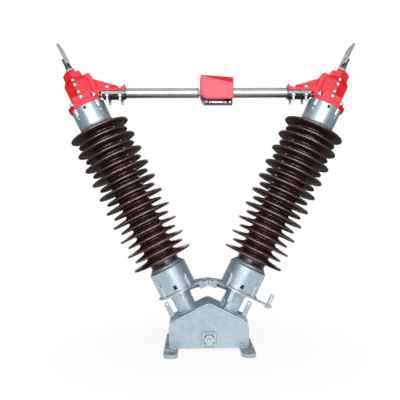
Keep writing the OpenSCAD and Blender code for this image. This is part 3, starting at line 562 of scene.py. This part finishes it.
def shedProfile(body):
    # corners of every shed, each eased by a curve: (1-u)^2 * before + 2u(1-u) * corner + u^2 * after
    steps = np.arange(2 * body["largeCount"] - 1)
    height = body["firstShed"] + steps * body["pitch"] / 2
    rim = np.where(steps % 2 == 0, body["largeRadius"], body["smallRadius"])
    core = np.full(len(steps), body["coreRadius"])
    corners = np.stack([np.column_stack([core, height - body["rootLow"]]),
                        np.column_stack([rim, height - body["rimLow"]]),
                        np.column_stack([rim, height + body["rimHigh"]]),
                        np.column_stack([core, height + body["rootHigh"]])], axis=1).reshape(-1, 2)
    ends = np.array([(body["coreRadius"], body["foot"]), (body["coreRadius"], body["head"])])
    before = np.vstack([ends[:1], corners[:-1]])
    after = np.vstack([corners[1:], ends[1:]])
    ease = np.tile(body["ease"], (len(steps), 1))
    enter = corners + ease[:, :1] * unit(before - corners)
    leave = corners + ease[:, 1:] * unit(after - corners)
    u = np.linspace(0.0, 1.0, body["easeSteps"])[None, :, None]
    curve = (1 - u) ** 2 * enter[:, None] + 2 * u * (1 - u) * corners[:, None] + u ** 2 * leave[:, None]
    return np.vstack([ends[:1], curve.reshape(-1, 2), ends[1:]])


def addPorcelain(post):
    profile = shedProfile(porcelain)
    points = ringPoints(post, profile, porcelain["around"])
    faces = skinFaces(1, len(profile), porcelain["around"])
    name = post["side"] + "_insulator"
    piece = addPiece(name + "_glazed", points, faces, post["body"], "brown_porcelain", porcelain["crease"])
    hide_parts(name)


# Cement between porcelain and metal: radius and height of its outline

cement = {"foot": [(57.0, 109.5), (66.5, 109.5), (66.0, 112.5), (63.0, 117.0), (59.5, 119.5), (57.0, 120.0)],
          "head": [(57.0, 737.5), (65.5, 737.5), (65.0, 733.5), (62.0, 729.5), (59.0, 727.5), (57.0, 727.0)]}
cementCrease = 60.0


def addCement(post):
    for end, profile in cement.items():
        addRing(post, "cement_" + end, profile, "galvanised_steel", cementCrease)


# Bolts and the ridge on the terminal housings, bolts on the flange lugs

ridge = {"path": [(0, -54.5, 858.0), (0, -54.5, 890.0), (0, -54.5, 919.0), (0, -50.5, 926.0),
                  (0, -44.5, 935.0)],
         "halfWidth": 7.5, "halfDepth": 3.6, "squareness": 6, "around": 20}
ridgeBolts = {"width": 9.5, "head": 6.0, "washer": 1.6, "tail": 1.5, "sink": 2.0,
              "places": [(0, -60.0, 850.0), (0, -58.0, 871.0), (0, -58.0, 902.0), (0, -55.5, 922.5)]}
footBolts = {"width": 17.0, "head": 9.0, "washer": 2.4, "tail": 5.0, "sink": 0.5,
             "reach": 46.5, "height": 835.0}
bossNuts = {"width": 11.0, "head": 8.0, "washer": 2.0, "tail": 4.0, "sink": 0.5,
            "reach": 45.25, "height": 783.0}
lugBolts = {"width": 7.0, "head": 5.0, "washer": 1.0, "tail": 1.5, "sink": 0.5,
            "radius": 78.5, "height": 50.0, "firstAngle": -135.0}


def ridgeOutline(bar):
    # rounded bar: a superellipse |x/w|^n + |y/d|^n = 1
    power = bar["squareness"]
    circle = roundOutline(1.0, bar["around"])
    stretch = (np.abs(circle) ** power).sum(axis=1, keepdims=True) ** (-1 / power)
    return np.array([bar["halfWidth"], bar["halfDepth"]]) * stretch * circle / 1000


def addHousingDetail(post):
    side = post["side"]
    body = post["body"]
    toFront = alongPost(post, (0, -1, 0))
    up = alongPost(post, (0, 0, 1))
    addSweep(side + "_housing_ridge", onPost(post, ridge["path"]), ridgeOutline(ridge), toFront, body,
             "red_casting")
    addBolts(side + "_ridge_bolts", onPost(post, ridgeBolts["places"]), toFront, body, ridgeBolts)
    corner = np.array([(-1, -1), (1, -1), (1, 1), (-1, 1)], float)
    for label, bolt, axis in (("_foot_bolts", footBolts, up), ("_boss_nuts", bossNuts, -up)):
        places = np.column_stack([corner * bolt["reach"], np.full(4, bolt["height"])])
        addBolts(side + label, onPost(post, places), axis, body, bolt)
    angle = np.radians(lugBolts["firstAngle"] + 90.0 * np.arange(4))
    lugs = np.column_stack([lugBolts["radius"] * np.cos(angle), lugBolts["radius"] * np.sin(angle),
                            np.full(4, lugBolts["height"])])
    addBolts(side + "_lug_bolts", onPost(post, lugs), up, body, lugBolts)


# Small parts of the posts: dark blocks that paint the shade in the flange slot and in a notch of the cap,
# and a collar under the stem

shadeBlocks = {"slot_liner": {"low": (-6.9, -67.2, 19.1), "high": (6.9, -64.0, 34.9)},
              "cap_plug": {"low": (-9.5, -69.8, 799.5), "high": (1.0, -62.0, 812.0)}}
stemCollar = [(15.4, 975.0), (17.7, 975.0), (17.7, 984.0), (16.6, 986.0), (15.4, 986.0)]


def addPostDetail(post):
    # dark blocks put where the slot and the notch hold only shade
    for label, block in shadeBlocks.items():
        points = onPost(post, blockPoints(block["low"], block["high"]))
        addPiece(post["side"] + "_" + label, points, skinFaces(1, 2, 4), post["body"], "dark_contact")
    addRing(post, "stem_collar", stemCollar, "zinc_fastener")


# Contact hood: rolled edges, and the strip with its bolts on the rail below

hoodEdge = {"radius": 0.0019, "wall": 0.0475, "foot": 0.001, "bevelLow": 0.0620, "bevelTop": 0.0875,
            "topHalf": 0.0325, "inset": 0.0006, "step": 0.003, "crease": 70.0}
hoodLip = {"radius": 0.0022, "top": 0.083, "corner": 0.028, "cornerSteps": 15, "inset": 0.0018,
           "endGap": 0.001, "step": 0.003, "crease": 70.0}
railStrip = {"low": (18.0, -16.4, 969.0), "high": (66.0, -13.0, 976.0)}
railBolts = {"width": 7.5, "head": 4.5, "washer": 1.2, "tail": 1.0, "sink": 0.4,
             "places": [(12.0, -14.0, 972.0), (74.0, -14.0, 972.0), (92.0, -14.0, 972.0),
                        (-2.0, -14.0, 973.5)]}
railEnd = {"width": 12.0, "head": 7.0, "washer": 2.0, "tail": 5.0, "sink": 0.5, "rise": 0.007}


def addHoodEdge(edge):
    # up one wall, along its bevel, over the top and down the other side
    low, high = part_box("contact_hood")
    half = [(edge["wall"], edge["foot"]), (edge["wall"], edge["bevelLow"]),
            (edge["topHalf"], edge["bevelTop"])]
    corners = [(high.x - edge["inset"], -y, low.z + z) for y, z in half]
    corners += [(high.x - edge["inset"], y, low.z + z) for y, z in reversed(half)]
    path = densePath(corners, edge["step"])
    addSweep("hood_rolled_edge", path, roundOutline(edge["radius"]), (1.0, 0.0, 0.0), "right_post",
             "red_sheet", edge["crease"])


def addHoodLip(lip):
    # down the left edge, a quarter circle round the corner, then along the lower edge
    low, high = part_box("contact_hood")
    turn = np.linspace(np.pi, 1.5 * np.pi, lip["cornerSteps"])
    reach = lip["corner"] - lip["inset"]
    arc = np.column_stack([low.x + lip["corner"] + reach * np.cos(turn),
                           low.z + lip["corner"] + reach * np.sin(turn)])
    flat = np.vstack([[(low.x + lip["inset"], low.z + lip["top"])], arc,
                      [(high.x - lip["endGap"], low.z + lip["inset"])]])
    for label, y in (("front", low.y), ("rear", high.y)):
        path = densePath(np.column_stack([flat[:, 0], np.full(len(flat), y), flat[:, 1]]), lip["step"])
        addSweep("hood_lip_" + label, path, roundOutline(lip["radius"]), (0.0, 1.0, 0.0), "right_post",
                 "red_sheet", lip["crease"])


def addRailDetail():
    points = blockPoints(railStrip["low"], railStrip["high"]) / 1000
    addPiece("rail_strip", points, skinFaces(1, 2, 4), "right_post", "bright_tube")
    addBolts("rail_bolts", np.array(railBolts["places"]) / 1000, (0.0, -1.0, 0.0), "right_post", railBolts)
    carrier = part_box("finger_carrier")[0]
    place = (carrier.x, 0.0, carrier.z + railEnd["rise"])
    addBolts("rail_end_bolt", [place], (-1.0, 0.0, 0.0), "right_post", railEnd)


# Earth pad bolts and the split pin in the lever pin

padBolts = {"width": 9.0, "head": 5.0, "washer": 1.4, "tail": 1.2, "sink": 0.5,
            "inset": 0.0085, "proud": 0.008}
splitPin = {"radius": 0.0019, "half": 15.0, "across": -137.0, "height": 37.0, "steps": 9}


def addPadBolts(bolt):
    low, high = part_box("earth_terminal")
    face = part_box("base_front_plate")[0].y - bolt["proud"]
    places = [(x, face, z) for z in (high.z - bolt["inset"], low.z + bolt["inset"])
              for x in (low.x + bolt["inset"], high.x - bolt["inset"])]
    addBolts("earth_pad_bolts", places, (0.0, -1.0, 0.0), "base", bolt)


def addSplitPin(pin):
    run = np.linspace(-pin["half"], pin["half"], pin["steps"])
    path = onPost(posts[1], [(pin["across"], y, pin["height"]) for y in run])
    addSweep("lever_split_pin", path, roundOutline(pin["radius"]), (0.0, 0.0, 1.0), posts[1]["body"],
             "zinc_fastener")


# Weld beads of the base box, in the brighter fastener zinc so that they paint a highlight line along the
# seams

bead = {"size": 0.0034, "ripple": 0.007, "swell": 0.16,
        "wander": 0.07, "wanderTurns": 17.3, "wanderStart": 1.1,
        "endShare": 0.25, "stepsPerRipple": 6, "around": 10, "crease": 80.0}
beadSkew = np.array([0.13, 0.31, 0.94])  # runs along no seam
roofSeam = {"outerShare": 0.985, "rise": 0.0045, "ridgeGap": 0.004, "ridgeDrop": 0.002, "inset": 0.0015}
sideSeam = {"rise": 0.003, "eaveGap": 0.006}
footSeam = {"start": 0.121, "endGap": 0.002, "rise": 0.0008, "proud": 0.001}
bearingSeam = {"radius": 40.0, "height": -83.0, "steps": 97}


def addBead(name, path):
    # a circle whose radius swells and shrinks along the run, one wave per ripple, and fades at both ends
    path = np.asarray(path, float)
    length = np.linalg.norm(np.diff(path, axis=0), axis=1).sum()
    run = np.linspace(0.0, 1.0, int(length / bead["ripple"] * bead["stepsPerRipple"]))
    swell = 1 + bead["swell"] * np.cos(2 * np.pi * run * length / bead["ripple"])
    swell += bead["wander"] * np.sin(bead["wanderTurns"] * run + bead["wanderStart"])
    fade = np.clip(np.minimum(run, 1 - run) * length / bead["size"], bead["endShare"], 1.0)
    outline = (bead["size"] * swell * fade)[:, None, None] * roundOutline(1.0, bead["around"])
    along = np.linspace(0.0, 1.0, len(path))
    fine = np.column_stack([np.interp(run, along, path[:, axis]) for axis in range(3)])
    # the brighter fastener zinc paints highlight lines along the seams
    addSweep(name, fine, outline, beadSkew, "base", "zinc_fastener", bead["crease"])


def addCornerWelds(side, face):
    low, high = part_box("base_front_plate")
    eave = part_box("base_left_side")[1].z
    label = ("left" if side < 0 else "right") + ("_front" if face < 0 else "_rear")
    outer = side * high.x
    rim = face * (-low.y - roofSeam["inset"])
    seam = face * -high.y
    foot = face * (-low.y + footSeam["proud"])
    addBead("weld_roof_" + label, [(outer * roofSeam["outerShare"], rim, eave + roofSeam["rise"]),
                                   (side * roofSeam["ridgeGap"], rim, high.z - roofSeam["ridgeDrop"])])
    addBead("weld_side_" + label, [(outer, seam, low.z + sideSeam["rise"]),
                                   (outer, seam, eave - sideSeam["eaveGap"])])
    addBead("weld_foot_" + label, [(side * footSeam["start"], foot, low.z + footSeam["rise"]),
                                   (outer - side * footSeam["endGap"], foot, low.z + footSeam["rise"])])


def addBearingWeld(post):
    turn = np.linspace(0.0, 2 * np.pi, bearingSeam["steps"])
    circle = np.column_stack([bearingSeam["radius"] * np.cos(turn), bearingSeam["radius"] * np.sin(turn),
                              np.full(len(turn), bearingSeam["height"])])
    addBead("weld_bearing_" + post["side"], onPost(post, circle))


for post in posts:
    addPorcelain(post)
    addCement(post)
    addHousingDetail(post)
    addPostDetail(post)
print("porcelain, cement and post details added")

addHoodEdge(hoodEdge)
addRailDetail()
addHoodLip(hoodLip)
print("hood edges and rail details added")

addPadBolts(padBolts)
addSplitPin(splitPin)
for side in (-1, 1):
    for face in (-1, 1):
        addCornerWelds(side, face)
for post in posts:
    addBearingWeld(post)
print("base details and welds added")


# Camera at the photograph's viewing angle

cameraSettings = {"place": (-0.0635, -1.944, 0.551), "turn": 0.0174, "lift": 0.0158, "roll": -0.0070,
                  "focalPixels": 485.0, "imagePixels": 400.0, "sensor": 36.0}


def addCamera(settings):
    turn = settings["turn"]
    lift = settings["lift"]
    roll = settings["roll"]
    forward = np.array([np.sin(turn) * np.cos(lift), np.cos(turn) * np.cos(lift), np.sin(lift)])
    flatRight = np.array([np.cos(turn), -np.sin(turn), 0.0])
    flatUp = np.cross(flatRight, forward)
    right = flatRight * np.cos(roll) + flatUp * np.sin(roll)
    up = flatUp * np.cos(roll) - flatRight * np.sin(roll)
    data = bpy.data.cameras.new("photoCamera")
    data.sensor_width = settings["sensor"]
    data.lens = settings["focalPixels"] * settings["sensor"] / settings["imagePixels"]
    camera = bpy.data.objects.new("photoCamera", data)
    turned = Matrix([right.tolist(), up.tolist(), (-forward).tolist()]).transposed().to_4x4()
    camera.matrix_world = Matrix.Translation(settings["place"]) @ turned
    scene.collection.objects.link(camera)
    scene.camera = camera


# Studio: a white floor, a far white backdrop, soft light from the front in a grey room

lamps = {"key": {"place": (0.0, -1.85, 1.70), "size": (1.2, 0.55), "watts": 7.5},
         "strip": {"place": (0.0, -2.4, 1.25), "size": (3.0, 0.14), "watts": 24.0},
         "low": {"place": (0.0, -2.5, 0.40), "size": (2.6, 0.14), "watts": 13.0},
         "top": {"place": (0.0, -0.4, 3.2), "size": (1.8, 1.8), "watts": 5.0},
         "leftFront": {"place": (-1.15, -1.6, 1.45), "size": (0.45, 1.6), "watts": 4.5},
         "rightFront": {"place": (1.15, -1.6, 1.45), "size": (0.45, 1.6), "watts": 4.5},
         "rear": {"place": (0.0, 2.6, 2.4), "size": (1.6, 1.6), "watts": 6.0}}
lampAim = Vector((0.0, 0.0, 0.62))
room = {"grey": 0.25, "floorRadius": 1.15, "floorSteps": 96, "floorShade": 0.9,
        "floorNear": 0.90, "shadowReach": (0.22, 0.75),  # whiter over this reach
        "backdropPlace": (0.32, 20.0, 0.9), "backdropHalf": 10.5}


def greyColour(level):
    return (level, level, level, 1)


def addLamp(name, settings):
    data = bpy.data.lights.new(name, "AREA")
    data.shape = "RECTANGLE"
    data.size, data.size_y = settings["size"]
    data.energy = settings["watts"]
    light = bpy.data.objects.new(name, data)
    light.location = settings["place"]
    light.rotation_mode = "QUATERNION"
    light.rotation_quaternion = (lampAim - light.location).to_track_quat("-Z", "Y")
    scene.collection.objects.link(light)


def seenShare(tree):
    # 1 for rays that show the surroundings: straight from the camera, mirrored or passed through
    path = put(tree, "ShaderNodeLightPath").outputs
    seen = calc(tree, "ADD", path["Is Camera Ray"], path["Is Glossy Ray"])
    return calc(tree, "MINIMUM", calc(tree, "ADD", seen, path["Is Transmission Ray"]), 1.0)


def stageMaterial(name):
    material = bpy.data.materials.new(name)
    material.use_nodes = True
    material.node_tree.nodes.clear()
    return material, material.node_tree


def addStagePiece(name, points, material):
    mesh = bpy.data.meshes.new(name)
    mesh.from_pydata(points.tolist(), [], [list(range(len(points)))])
    mesh.materials.append(material)
    piece = bpy.data.objects.new(name, mesh)
    scene.collection.objects.link(piece)


def addWorld(settings):
    world = bpy.data.worlds.new("greyRoom")
    world.use_nodes = True
    world.node_tree.nodes["Background"].inputs["Color"].default_value = greyColour(settings["grey"])
    scene.world = world


def addFloor(settings):
    # disc that glows white where it is seen, less near the middle, so that the shadow stays
    material, tree = stageMaterial("floorWhite")
    matt = put(tree, "ShaderNodeBsdfDiffuse", {"Color": greyColour(settings["floorShade"])})
    glow = put(tree, "ShaderNodeEmission", {"Color": greyColour(1), "Strength": 1.0})
    coords = put(tree, "ShaderNodeTexCoord").outputs["Object"]
    reach = put(tree, "ShaderNodeVectorMath", {0: coords}, operation="LENGTH").outputs["Value"]
    white = ramp(tree, reach, *settings["shadowReach"], settings["floorNear"], 1.0)
    share = calc(tree, "MULTIPLY", seenShare(tree), white)
    mixed = put(tree, "ShaderNodeMixShader", {0: share, 1: matt.outputs[0], 2: glow.outputs[0]})
    put(tree, "ShaderNodeOutputMaterial", {"Surface": mixed.outputs[0]})
    rim = roundOutline(settings["floorRadius"], settings["floorSteps"])
    addStagePiece("floor", np.column_stack([rim, np.zeros(len(rim))]), material)


def addBackdrop(settings):
    material, tree = stageMaterial("backdropWhite")
    glow = put(tree, "ShaderNodeEmission", {"Color": greyColour(1), "Strength": seenShare(tree)})
    put(tree, "ShaderNodeOutputMaterial", {"Surface": glow.outputs[0]})
    corner = np.array([(-1, 0, -1), (1, 0, -1), (1, 0, 1), (-1, 0, 1)]) * settings["backdropHalf"]
    addStagePiece("backdrop", corner + np.array(settings["backdropPlace"]), material)


addCamera(cameraSettings)
for lampName, lampSettings in lamps.items():
    addLamp(lampName, lampSettings)
addWorld(room)
addFloor(room)
addBackdrop(room)
scene.view_settings.view_transform = "Standard"
print("camera, lamps and floor set")
